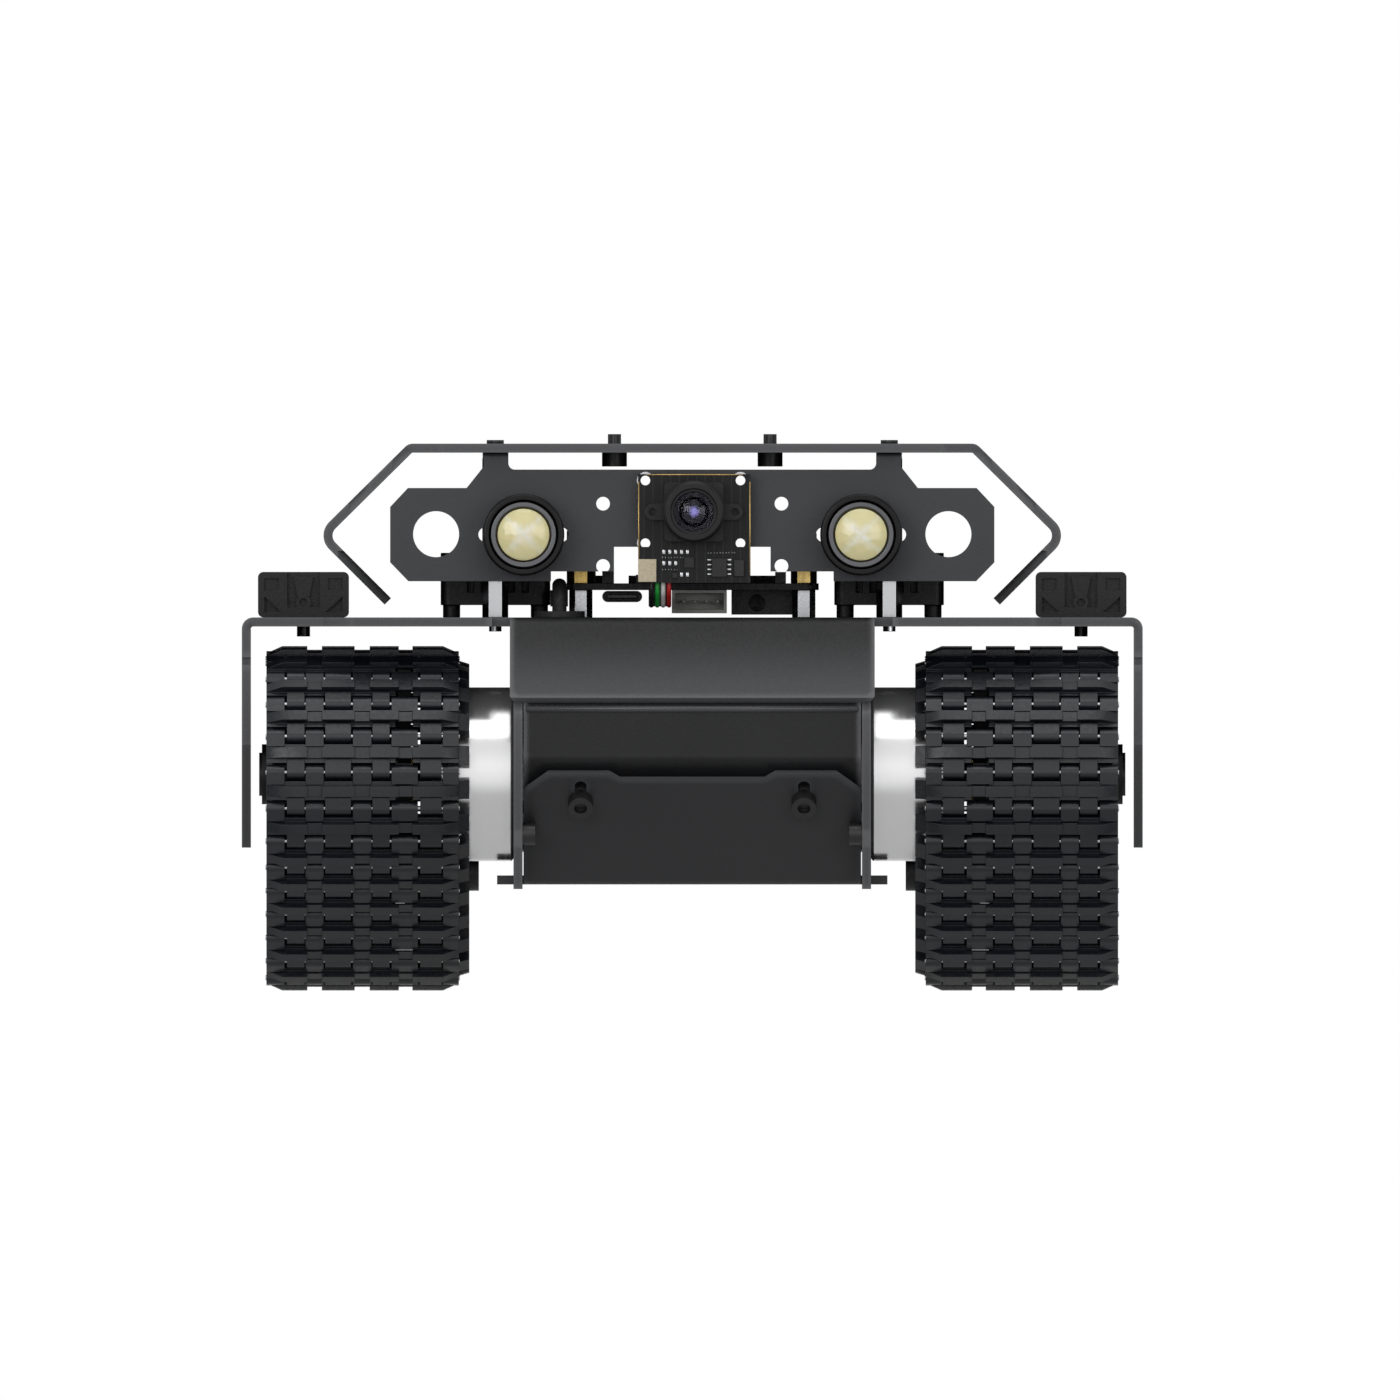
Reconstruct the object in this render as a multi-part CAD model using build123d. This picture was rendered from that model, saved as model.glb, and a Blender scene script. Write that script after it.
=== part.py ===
from build123d import *
import math
import os

# Tracked robot chassis. Millimetres, +X right, +Y to the back, +Z up, ground at z = 0.
# The machine is symmetric left to right, apart from its electronics.

# Sheet-metal body
SHEET = 2.0
DECK_TOP = 82.0
DECK_HALF_WIDTH = 99.0
SKIRT_BOTTOM = 31.4
SKIRT_END = 102.0
DECK_END = 108.0
HULL_HALF_WIDTH = 39.3
HULL_NOSE = 116.0
HULL_BOTTOM = 22.3
PAN_MIDDLE = 24.3
ROOF_TOP = 120.2
ROOF_END = 92.0
STANDOFF = (43.3, 80.0)
STANDOFF_TOP = 117.0
RAIL_X = 85.45
RAIL_SIZE = (20.0, 10.0)
RAIL_END = 80.0
RAIL_SCREWS = (-60.0, 0.0, 60.0)
ACCESSORY = (17.1, -60.0, -25.8)

# Tracks
PITCH = 8.0
TEETH = 20
LINKS = 66
GROUSER = 2.7
TRACK_TOP = 75.7
SPROCKET_R = PITCH * TEETH / (2 * math.pi)
SPROCKET_Z = TRACK_TOP - GROUSER - SPROCKET_R
WHEEL_LINE = 13.0
WHEEL_Z = GROUSER + WHEEL_LINE
SLOPE = math.radians(40.0)
KNUCKLE_R = 1.6
PIN_R = 0.5
FIRST_GROUSER = math.radians(10.0)

# Running gear across the width
FRAME_X = (57.5, 59.5)
BOGIE_X = (61.2, 63.2)
WHEEL_X = (66.6, 92.4)
GEARBOX_R = 19.1
MOTOR_R = 17.1
PIVOT_Z = 26.4

# Head
PANEL_Y = (-89.2, -88.0)
LAMP = (37.1, 100.2)
CAMERA = (0.35, 105.2)
CAMERA_BOARD_Y = (-93.7, -92.1)

# Electronics
BOARD_Z = (88.0, 89.5)
BOARD_HOLES = (24.5, -64.0, -6.0)
COMPUTER_SCREW_R = 1.25
STUD_R = 1.5
LEAD_HOLE = (-29.2, -84.0)

# Sloping front of the hull's pan, as directions and a top edge in y and z, and the two sockets on it
PAN_UP = (-0.5886, 0.8085)
PAN_OUT = (-0.8085, -0.5886)
PAN_TOP = (-114.4, 48.2)
SWITCH = (-20.0, 9.5)
CHARGER = (20.0, 9.5)
ROCKER_TILT = -9.0

slope_run = (SPROCKET_Z - WHEEL_Z - (SPROCKET_R - WHEEL_LINE) * math.cos(SLOPE)) / math.sin(SLOPE)
end_wheel_in = slope_run * math.cos(SLOPE) - (SPROCKET_R - WHEEL_LINE) * math.sin(SLOPE)
arcs = SPROCKET_R * (math.pi - SLOPE) + WHEEL_LINE * SLOPE
WHEELBASE = (LINKS * PITCH - 2 * (arcs + slope_run) + 2 * end_wheel_in) / 2
SPROCKET_Y = -WHEELBASE / 2
END_WHEEL = WHEELBASE / 2 - end_wheel_in
WHEEL_YS = [END_WHEEL * k for k in (-1, -1 / 3, 1 / 3, 1)]
PIVOT_YS = [END_WHEEL * k for k in (-2 / 3, 2 / 3)]

PLANES = {"x": Plane.YZ, "y": Plane.XZ, "z": Plane.XY}
DIRECTIONS = {"x": Vector(1, 0, 0), "y": Vector(0, 1, 0), "z": Vector(0, 0, 1)}
nodes = {}


def bar(axis, sketch, centre, low, high):
    """Any flat shape, centred across an axis and extruded from low to high along it."""
    direction = DIRECTIONS[axis]
    face = PLANES[axis] * (Pos(centre[0], centre[1]) * sketch)
    return Pos(direction * low) * extrude(face, amount=high - low, dir=direction)


def prism(axis, points, low, high):
    """Polygon across an axis, extruded along it."""
    return bar(axis, Polygon(*points, align=None), (0, 0), low, high)


def rod(axis, radius, centre, low, high):
    """Round bar along an axis."""
    return bar(axis, Circle(radius), centre, low, high)


def hexagon(flats):
    """Hexagon with two corners on its first axis, by its width across flats."""
    return RegularPolygon(flats / math.sqrt(3), 6)


def block(x, y, z):
    """Box between pairs of coordinates."""
    size = [abs(pair[1] - pair[0]) for pair in (x, y, z)]
    middle = [(pair[0] + pair[1]) / 2 for pair in (x, y, z)]
    return Pos(*middle) * Box(*size)


def round_edges(part, axis, radius, spots):
    """Fillet the edges along an axis that pass through the given spots."""
    index = {"x": (1, 2), "y": (0, 2), "z": (0, 1)}[axis]
    chosen = []
    for edge in part.edges().filter_by(Axis((0, 0, 0), DIRECTIONS[axis])):
        middle = tuple(edge.center())
        place = (middle[index[0]], middle[index[1]])
        if any(math.dist(place, spot) < 0.05 for spot in spots):
            chosen.append(edge)
    return fillet(chosen, radius)


def bent_sheet(axis, points, low, high, bends, thickness=SHEET):
    """Folded sheet whose middle line is an open polyline, with an inside radius for each bend."""
    left, right, corners = [], [], []
    steps = []
    for start, end in zip(points, points[1:]):
        length = math.dist(start, end)
        steps.append(((end[0] - start[0]) / length, (end[1] - start[1]) / length))
    for number, point in enumerate(points):
        before = steps[max(number - 1, 0)]
        after = steps[min(number, len(steps) - 1)]
        share = 1 + before[0] * after[0] + before[1] * after[1]
        side = (-(before[1] + after[1]) / share, (before[0] + after[0]) / share)
        half = thickness / 2
        left.append((point[0] + side[0] * half, point[1] + side[1] * half))
        right.append((point[0] - side[0] * half, point[1] - side[1] * half))
        corners.append(before[0] * after[1] - before[1] * after[0])
    sheet = prism(axis, left + right[::-1], low, high)
    for number, bend in zip(range(1, len(points) - 1), bends):
        inside, outside = (left, right) if corners[number] > 0 else (right, left)
        sheet = round_edges(sheet, axis, bend, [inside[number]])
        sheet = round_edges(sheet, axis, bend + thickness, [outside[number]])
    return sheet


def both(part, about=Plane.YZ):
    """A part and its mirror image."""
    return [part, mirror(part, about=about)]


def solids_of(things):
    """Every solid in a list of shapes."""
    found = []
    for thing in things:
        found.extend(solids_of(thing) if isinstance(thing, (list, tuple)) else thing.solids())
    return found


def node(name, *things):
    """Register a named sub-part."""
    nodes[name] = solids_of(things)


def pairs(*things):
    """Right-hand solids together with their left-hand mirror images."""
    right = solids_of(things)
    return right + [mirror(solid, about=Plane.YZ) for solid in right]


def sides(name, part):
    """Register a right-hand part and its left-hand mirror image as two sub-parts."""
    right = solids_of([part])
    node(name + "_right", right)
    node(name + "_left", [mirror(solid, about=Plane.YZ) for solid in right])


def cap_screw(axis, centre, head, direction, length, radius=1.45):
    """Socket head screw along an axis: its head's seat, its direction of travel and its length."""
    head_r, head_h, socket = radius * 1.9, radius * 2.1, radius * 0.95
    shank = sorted((head, head + direction * length))
    cap = sorted((head, head - direction * head_h))
    depth = sorted((head - direction * head_h, head - direction * head_h * 0.45))
    screw = rod(axis, radius, centre, *shank) + rod(axis, head_r, centre, *cap)
    return screw - bar(axis, hexagon(socket * 2), centre, *depth)


# Sheet-metal body

def mirrored_box(x, y, z):
    """A box and its copies on the other side and at the other end."""
    corner = block(x, y, z)
    pair = both(corner)
    return pair + [mirror(part, about=Plane.XZ) for part in pair]


def deck_plate():
    """Deck, side skirts and the sloping flanges over nose and tail, folded from one sheet."""
    side = DECK_HALF_WIDTH - SHEET / 2
    middle = DECK_TOP - SHEET / 2
    outline = [(-side, SKIRT_BOTTOM), (-side, middle), (side, middle), (side, SKIRT_BOTTOM)]
    deck = bent_sheet("y", outline, -DECK_END, DECK_END, [0.5, 0.5])
    corner = [(75.2, -DECK_END - 1), (75.2, -DECK_END), (81.1, -SKIRT_END),
              (DECK_HALF_WIDTH + 1, -SKIRT_END), (DECK_HALF_WIDTH + 1, -DECK_END - 1)]
    corner = prism("z", corner, SKIRT_BOTTOM - 1, DECK_TOP + 1)
    low = [(-SKIRT_END - 1, 54), (-SKIRT_END, 54), (-79.4, SKIRT_BOTTOM), (-79.4, 20), (-SKIRT_END - 1, 20)]
    low = prism("x", low, 96, 100)
    notch = block((96, 100), (-SKIRT_END - 1, -SKIRT_END + 1.2), (71.6, 73.2))
    for cut in (corner, low, notch):
        pair = both(cut)
        deck -= pair + [mirror(part, about=Plane.XZ) for part in pair]
    deck -= mirrored_box((-1, 44), (-DECK_END - 1, -99), (70, 90))
    slope = [(-96, middle), (-104, middle), (-115.2, 63.8)]
    flange = bent_sheet("x", slope, -40.1, 40.1, [1.2])
    flange = flange.solids()[0]
    corner = block((39, 41), (-117, -113), (60, 64.6)) - rod("y", 1.8, (38.3, 65.2), -118, -112)
    flange -= both(corner)
    deck += [flange, mirror(flange, about=Plane.XZ)]
    return deck.solids()[0] - deck_holes()


def deck_holes():
    """Holes for standoffs, rails, boards and payload, and the cable slot."""
    holes = []
    for x, y in corners_of(*STANDOFF):
        holes.append(rod("z", 1.6, (x, y), 78, 84))
    for y in RAIL_SCREWS:
        holes += both(rod("z", 1.6, (RAIL_X, y), 78, 84))
    for y in BOARD_HOLES[1:]:
        holes += both(rod("z", 1.35, (BOARD_HOLES[0], y), 78, 84))
    for y in (36, 52, 68, 84):
        holes += both(rod("z", 1.6, (18, y), 78, 84)) + both(rod("z", 1.6, (60, y), 78, 84))
    for y in (-30, 30):
        holes += both(bar("x", SlotOverall(40, 6, rotation=0), (y, 62), 96, 100))
        holes += both(rod("x", 1.6, (y, 44), 96, 100))
    holes.append(bar("z", SlotOverall(26, 8), (0, 26), 78, 84))
    holes.append(rod("z", 4.2, LEAD_HOLE, 78, 84))
    return holes


def corners_of(x, y):
    """The four points at plus and minus x and y."""
    return [(i * x, j * y) for i in (-1, 1) for j in (-1, 1)]


def roof_plate():
    """Roof with wings folded down and in again; its end edges step back towards the sides."""
    middle = ROOF_TOP - SHEET / 2
    half = [(61.99, middle), (81.39, 100.0), (66.9, 85.51)]
    outline = [(-x, z) for x, z in half[::-1]] + half
    roof = bent_sheet("y", outline, -ROOF_END, ROOF_END, [2.2, 0.4, 0.4, 2.2])
    upper = [(55.2, -ROOF_END), (65.8, -85), (71.3, -85), (75.4, -80), (84, -80), (84, -94), (55.2, -94)]
    lower = [(84, -80), (77.9, -80), (60, -60), (60, -94), (84, -94)]
    for cut in (prism("z", upper, 96.6, 122), prism("z", lower, 80, 96.6)):
        pair = both(cut)
        roof -= pair + [mirror(part, about=Plane.XZ) for part in pair]
    holes = [rod("z", 1.6, spot, 116, 122) for spot in corners_of(*STANDOFF)]
    holes += both(rod("z", 1.55, ACCESSORY[:2], 116, 122)) + both(rod("z", 1.55, ACCESSORY[::2], 116, 122))
    holes += [rod("z", 1.6, spot, 116, 122) for spot in corners_of(29, 56)]
    holes += [bar("z", SlotOverall(44, 4, rotation=90), (x, 20), 116, 122) for x in (-44, 44)]
    holes += [bar("z", SlotOverall(40, 14), (0, 6), 116, 122), rod("z", 11, (0, 42), 116, 122)]
    return roof - holes


def hull_side():
    """Right-hand wall of the hull."""
    nose = [(-101, 79.95), (-104.1, 78.5), (-114.25, 62.9), (-HULL_NOSE, 61), (-HULL_NOSE, 42.5),
            (-105, HULL_BOTTOM)]
    wall = prism("x", nose + [(-y, z) for y, z in nose[::-1]], HULL_HALF_WIDTH - SHEET, HULL_HALF_WIDTH)
    low, high = HULL_HALF_WIDTH - SHEET - 1, HULL_HALF_WIDTH + 1
    wall -= rod("x", MOTOR_R + 0.2, (SPROCKET_Y, SPROCKET_Z), low, high)
    for y, z in hull_side_screws():
        wall -= rod("x", 1.55, (y, z), low, high)
    for y, z, radius in spacer_spots():
        wall -= rod("x", 1.6, (y, z), low, high)
    for y in (-86, -28, 28, 86):
        wall -= block((low, high), (y - 4.1, y + 4.1), (PAN_MIDDLE - 1.05, PAN_MIDDLE + 1.05))
    return wall


def hull_side_screws():
    """Screws that hold the end plates to the side walls, as (y, z)."""
    return [(-109.0, 34.5), (109.0, 34.5)]


def end_plate():
    """Front plate of the hull: a tab under the deck flange, a flat front and a return behind the pan."""
    profile = [(-106.65, 73.18), (-113.9, 62.05), (-113.9, 51.02), (-102.96, 36.0)]
    plate = bent_sheet("x", profile, -37.1, 37.1, [0.8, 0.8])
    plate -= [tilted_rod(x, z, 1.55, -9, 9) for x, z in pan_screws()]
    return plate.solids()[0]


def pan_screws():
    """Screws through the sloping end of the pan, as (x, z) where their axis crosses its middle."""
    return [(-24.55, 42.3), (24.55, 42.3)]


def pan_plane(x, z):
    """Plane on the middle of the pan's front slope, facing outwards."""
    along = (z - PAN_TOP[1]) / PAN_UP[1]
    origin = (x, PAN_TOP[0] + PAN_UP[0] * along, z)
    return Plane(origin=origin, x_dir=(1, 0, 0), z_dir=(0, PAN_OUT[0], PAN_OUT[1]))


def tilted_rod(x, z, radius, low, high):
    """Round bar square to the pan's front slope."""
    return pan_plane(x, z) * Pos(0, 0, (low + high) / 2) * Cylinder(radius, high - low)


def bottom_pan():
    """Hull floor with both ends folded up, a shaped top edge and tabs into the side walls."""
    ends = [PAN_TOP, (-97.0, PAN_MIDDLE)]
    profile = ends + [(-y, z) for y, z in ends[::-1]]
    pan = bent_sheet("x", profile, -37.1, 37.1, [1.2, 1.2])
    edge = [(-38, 60), (-38, 44.2), (-37.0, 44.6), (-31.6, 48.4), (-18.3, 48.4), (-15.9, 47.0)]
    edge += [(-x, z) for x, z in edge[::-1]]
    front = prism("y", edge, -120, -100)
    cuts = [front, mirror(front, about=Plane.XZ)]
    cuts += [bar("z", SlotOverall(30, 5), (0, y), 20, 28) for y in (-30, 0, 30)]
    for x, z in pan_screws():
        hole = tilted_rod(x, z, 1.55, -2, 2)
        slot = pan_plane(x, 45.0) * Pos(0, 0, -2) * extrude(SlotOverall(3.8, 2.6, rotation=90), amount=4)
        cuts += [hole, slot, mirror(hole, about=Plane.XZ), mirror(slot, about=Plane.XZ)]
    pan -= cuts
    for y in (-86, -28, 28, 86):
        pan += both(block((36, 42.9), (y - 4, y + 4), (PAN_MIDDLE - 1, PAN_MIDDLE + 1)))
    return pan.solids()[0]


def pan_cap_screws():
    """The socket screws that clamp the pan to the end plates, at nose and tail."""
    made = []
    for x, z in pan_screws():
        cap = tilted_rod(x, z, 2.75, 1.0, 4.0) - tilted_rod(x, z, 1.4, 2.6, 4.1)
        made.append(cap + tilted_rod(x, z, 1.45, -4.2, 1.0))
    return made + [mirror(part, about=Plane.XZ) for part in made]


def camera_panel():
    """Face plate with two lamps, two round ports and the camera, hung from the roof on two necks."""
    half = [(0, 114.5), (40.4, 114.5), (40.4, 117.0), (45.9, 117.0), (45.9, 115.1), (49.6, 110.45),
            (62.5, 110.45), (66.4, 106.3), (66.4, 94.1), (62.4, 89.95), (31.05, 89.95), (31.05, 92.1),
            (17.2, 92.1), (17.2, 97.5), (0, 97.5)]
    panel = prism("y", half, *PANEL_Y)
    panel = round_edges(panel, "y", 1.4, [(40.4, 114.5)])
    neck_top = STANDOFF_TOP + 1.2
    panel += block((40.4, 45.9), (PANEL_Y[0], -76.4), (STANDOFF_TOP, neck_top))
    panel = round_edges(panel, "x", 1.0, [(PANEL_Y[0], neck_top)])
    panel = round_edges(panel, "z", 1.5, [(40.4, -76.4), (45.9, -76.4)])
    holes = [rod("y", 5.05, (56.3, 100.3), -92, -86), rod("y", 8.1, LAMP, -92, -86)]
    holes += [rod("y", 1.6, (LAMP[0] + side * 8.3, LAMP[1]), -92, -86) for side in (-1, 1)]
    holes += [rod("y", 1.5, (19.6, z), -92, -86) for z in (107.0, 93.3)]
    holes.append(rod("z", 1.6, (STANDOFF[0], -STANDOFF[1]), 115, 120))
    panel -= holes
    whole = panel + mirror(panel, about=Plane.YZ)
    return whole - [rod("y", 1.05, spot, -92, -86) for spot in camera_holes()]


def camera_holes():
    """Fixing holes of the camera board, as (x, z)."""
    return [(-10.3, 112.1), (10.6, 112.1), (-10.3, 98.3), (10.6, 98.3)]


def standoffs():
    """Four hexagonal posts between deck and roof, each with a screw from below."""
    made = []
    for spot in corners_of(*STANDOFF):
        post = bar("z", hexagon(5.0), spot, DECK_TOP, STANDOFF_TOP)
        made.append(post + rod("z", 1.38, spot, 78.9, DECK_TOP))
    return made


def standoff_caps():
    """Low screw heads on the roof above the posts."""
    made = []
    for spot in corners_of(*STANDOFF):
        head = rod("z", 1.9, spot, ROOF_TOP, ROOF_TOP + 0.8)
        head += rod("z", 1.45, spot, STANDOFF_TOP, ROOF_TOP)
        made.append(head - bar("z", hexagon(1.9), spot, ROOF_TOP + 0.2, ROOF_TOP + 1))
    return made


def washers():
    """Spacing washers on the rear posts, where no panel flange lies."""
    ring = Circle(2.8) - Circle(1.5)
    return [bar("z", ring, (x, STANDOFF[1]), STANDOFF_TOP, STANDOFF_TOP + 1.2) for x in (-STANDOFF[0], STANDOFF[0])]


def accessory_screws():
    """Four screws up through the roof, their tips standing ready for an accessory."""
    made = []
    for x in (-ACCESSORY[0], ACCESSORY[0]):
        for y in ACCESSORY[1:]:
            made.append(cap_screw("z", (x, y), ROOF_TOP - SHEET, 1, SHEET + 2.1))
    return made


# Rails

def rail():
    """Right-hand rail: slotted extrusion, its slot open along the top and the bottom."""
    width, height = RAIL_SIZE
    shape = RectangleRounded(width, height, 1.2)
    for side in (-1, 1):
        shape -= Pos(0, side * (height / 2 - 0.9)) * Rectangle(5.2, 1.9)
        shape -= Pos(0, side * (height / 2 - 2.4)) * Rectangle(8.4, 1.4)
        shape -= Pos(side * 7.3, 0) * Rectangle(2.6, 4.2)
    shape -= Circle(1.25)
    body = bar("y", shape, (RAIL_X, DECK_TOP + height / 2), -RAIL_END, RAIL_END)
    return body - [rod("z", 1.55, (RAIL_X, y), DECK_TOP - 1, DECK_TOP + 3.9) for y in RAIL_SCREWS]


def rail_cap():
    """Moulded cap on a rail end, ribbed as the end of the extrusion is."""
    width, height = RAIL_SIZE
    middle = DECK_TOP + height / 2
    face = -RAIL_END - 3.0
    cap = bar("y", RectangleRounded(width, height, 1.2), (RAIL_X, middle), face, -RAIL_END)
    cap -= block((RAIL_X - 3.6, RAIL_X + 3.6), (face - 1, face + 2.0), (DECK_TOP + 2.2, middle + 6))
    trapezoid = [(RAIL_X - 2.15, 91.0), (RAIL_X + 2.15, 91.0), (RAIL_X + 1.3, 86.6), (RAIL_X - 1.3, 86.6)]
    cap += prism("y", trapezoid, face + 0.4, -RAIL_END)
    eye = (RAIL_X, 85.3)
    cap += rod("y", 1.65, eye, face, -RAIL_END) - rod("y", 0.9, eye, face - 1, face + 1.4)
    for side in (-1, 1):
        outer = RAIL_X + side * 8.6
        inner = RAIL_X + side * 4.8
        triangle = [(outer, 83.2), (inner, 83.2), (outer, 86.6)]
        cap -= prism("y", triangle, face - 1, face + 1.8)
        cap -= block((outer, inner + side * 0.6), (face - 1, face + 1.0), (88.0, 90.6))
    return cap


def rail_screws():
    """Screws from slot nuts inside the rails down through the deck, their tips standing out below."""
    made = []
    for y in RAIL_SCREWS:
        nut = block((RAIL_X - 3.9, RAIL_X + 3.9), (y - 3, y + 3), (DECK_TOP + 1.95, DECK_TOP + 3.0))
        made.append(nut + rod("z", 1.45, (RAIL_X, y), 77.8, DECK_TOP + 3.6))
    return made


# Drive

def drive_line(low, high, radius):
    """Right-hand bar on the drive axis."""
    return rod("x", radius, (SPROCKET_Y, SPROCKET_Z), low, high)


def gearbox():
    """Round gearbox outside the hull wall, with a boss towards the sprocket."""
    body = drive_line(HULL_HALF_WIDTH, FRAME_X[0] - 0.05, GEARBOX_R)
    body = chamfer(body.edges().filter_by(GeomType.CIRCLE), 0.5)
    body -= drive_line(53.6, 54.2, GEARBOX_R + 1) - drive_line(53.5, 54.3, GEARBOX_R - 0.4)
    return body + drive_line(FRAME_X[0] - 0.1, 60.6, 6.0) - drive_line(50, 61, 3.05)


def motor():
    """Motor can inside the hull, with its end boss."""
    can = drive_line(11.0, HULL_HALF_WIDTH - 0.02, MOTOR_R)
    can = fillet(can.edges().filter_by(GeomType.CIRCLE).group_by(Axis.X)[0], 1.5)
    vents = [block((14, 20), (SPROCKET_Y + side * (MOTOR_R - 1), SPROCKET_Y + side * (MOTOR_R + 1)),
                   (SPROCKET_Z - 3, SPROCKET_Z + 3)) for side in (-1, 1)]
    return can + drive_line(9.0, 11.0, 5.0) - vents


def encoder():
    """Encoder board and magnet disc behind the motor."""
    board = drive_line(7.2, 8.8, 14.0) - drive_line(7, 9, 5.1)
    plug = block((4.2, 7.2), (SPROCKET_Y - 5, SPROCKET_Y + 5), (SPROCKET_Z + 7, SPROCKET_Z + 12))
    magnet = drive_line(5.0, 8.95, 3.5)
    return [board + plug, magnet]


def side_frame():
    """Plate inside the track loop that carries bogies, idler and gearbox."""
    reach = WHEELBASE / 2
    outline = [(-reach, 66.5), (-reach - 12, 60), (-reach - 12, 36), (-reach, 29), (-60, 21.5), (60, 21.5),
               (reach, 29), (reach + 12, 36), (reach + 12, 60), (reach, 66.5), (40, 58), (-40, 58)]
    plate = prism("x", outline, *FRAME_X)
    low, high = FRAME_X[0] - 1, FRAME_X[1] + 1
    plate -= drive_line(low, high, 6.1)
    for angle in range(0, 360, 60):
        y = SPROCKET_Y + 13.5 * math.cos(math.radians(angle))
        z = SPROCKET_Z + 13.5 * math.sin(math.radians(angle))
        plate -= rod("x", 1.6, (y, z), low, high)
    plate -= [rod("x", 1.6, (y, z), low, high) for y, z, radius in spacer_spots()]
    plate -= [rod("x", 3.05, (y, PIVOT_Z), low, high) for y in PIVOT_YS]
    plate -= rod("x", 3.05, (-SPROCKET_Y, SPROCKET_Z), low, high)
    plate -= [bar("x", SlotOverall(34, 12), (y, 43), low, high) for y in (-28, 28)]
    return plate


def spacer_spots():
    """Tubes between hull wall and side frame, as (y, z, radius)."""
    return [(-54, 50, 5.0), (0, 50, 5.0), (54, 50, 5.0), (-SPROCKET_Y, SPROCKET_Z - 12, 5.0)]


def frame_spacers():
    """Right-hand tubes and their screws, as separate solids."""
    made = []
    for y, z, radius in spacer_spots():
        tube = rod("x", radius, (y, z), HULL_HALF_WIDTH, FRAME_X[0])
        made.append(tube)
    return made


def frame_screws():
    """Screws through the side frame into the gearbox face."""
    made = []
    for y, z, radius in spacer_spots():
        made.append(cap_screw("x", (y, z), FRAME_X[1], -1, SHEET - 0.02, radius=1.4))
        made.append(cap_screw("x", (y, z), HULL_HALF_WIDTH - SHEET, 1, SHEET - 0.02, radius=1.4))
    for angle in range(0, 360, 60):
        y = SPROCKET_Y + 13.5 * math.cos(math.radians(angle))
        z = SPROCKET_Z + 13.5 * math.sin(math.radians(angle))
        made.append(rod("x", 1.45, (y, z), FRAME_X[0], FRAME_X[1]) + rod("x", 2.5, (y, z), FRAME_X[1], 60.7))
    return made


def drive_shaft():
    """Output shaft with its brass hexagon hub."""
    shaft = drive_line(51.0, 92.0, 3.0)
    return shaft + bar("x", hexagon(12.0), (SPROCKET_Y, SPROCKET_Z), 61.0, 73.0)


def toothed_ring(low, high):
    """Sprocket ring with a tooth for each link window."""
    ring = drive_line(low, high, SPROCKET_R - 3.0)
    tip, root = SPROCKET_R + 0.4, SPROCKET_R - 4.0
    tooth = [(tip, -0.7), (tip, 0.7), (root, 1.7), (root, -1.7)]
    blank = prism("x", tooth, low, high)
    for step in range(TEETH):
        turn = math.degrees(link_angle(step))
        ring += Pos(0, SPROCKET_Y, SPROCKET_Z) * Rot(turn, 0, 0) * blank
    return ring


def link_angle(step):
    """Direction from the drive axis to a tooth, about +X from +Y."""
    return math.pi - FIRST_GROUSER + step * 2 * math.pi / TEETH


def spoked_disc(y, radius, low, high, hub):
    """Disc with six openings."""
    disc = rod("x", radius, (y, SPROCKET_Z), low, high)
    ring = radius - 1.6
    for step in range(6):
        wedge = Polygon((hub + 1.2, -1.8), (ring, -4.4), (ring, 4.4), (hub + 1.2, 1.8), align=None)
        cut = Pos(0, y, SPROCKET_Z) * Rot(60 * step, 0, 0) * bar("x", wedge, (0, 0), low - 1, high + 1)
        disc -= cut
    return disc


def sprocket():
    """Right-hand drive sprocket: toothed ring, barrel and spoked outer face."""
    wheel = toothed_ring(61.8, 64.8)
    barrel = drive_line(64.7, 92.4, SPROCKET_R - KNUCKLE_R - 0.5) - drive_line(66.4, 93, SPROCKET_R - 5.6)
    wheel += barrel
    wheel += spoked_disc(SPROCKET_Y, SPROCKET_R - 5.4, 90.4, 92.4, 6.0)
    wheel += drive_line(64.7, 94.6, 6.6)
    wheel -= drive_line(60, 92.0, 3.02)
    wheel -= bar("x", hexagon(12.04), (SPROCKET_Y, SPROCKET_Z), 60, 73.02)
    return wheel + drive_line(92.4, 95.2, 4.75)


def idler():
    """Right-hand idler: plain barrel with a guide ring and spoked outer face."""
    rear = -SPROCKET_Y
    radius = SPROCKET_R - KNUCKLE_R - 0.5
    wheel = rod("x", radius, (rear, SPROCKET_Z), 64.7, 92.4)
    wheel -= rod("x", radius - 3.4, (rear, SPROCKET_Z), 66.4, 93)
    wheel += spoked_disc(rear, radius - 3.2, 90.4, 92.4, 6.0)
    wheel += rod("x", 6.6, (rear, SPROCKET_Z), 64.7, 94.6)
    return wheel - rod("x", 3.04, (rear, SPROCKET_Z), 60, 93.0)


def idler_axle():
    """Stub axle from the hull wall to the idler, with a shoulder between wall and frame."""
    spot = (-SPROCKET_Y, SPROCKET_Z)
    axle = rod("x", 3.0, spot, FRAME_X[0] - 0.5, 92.6)
    return axle + rod("x", 5.5, spot, HULL_HALF_WIDTH, FRAME_X[0]) + rod("x", 4.6, spot, 59.6, 64.5)


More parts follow.
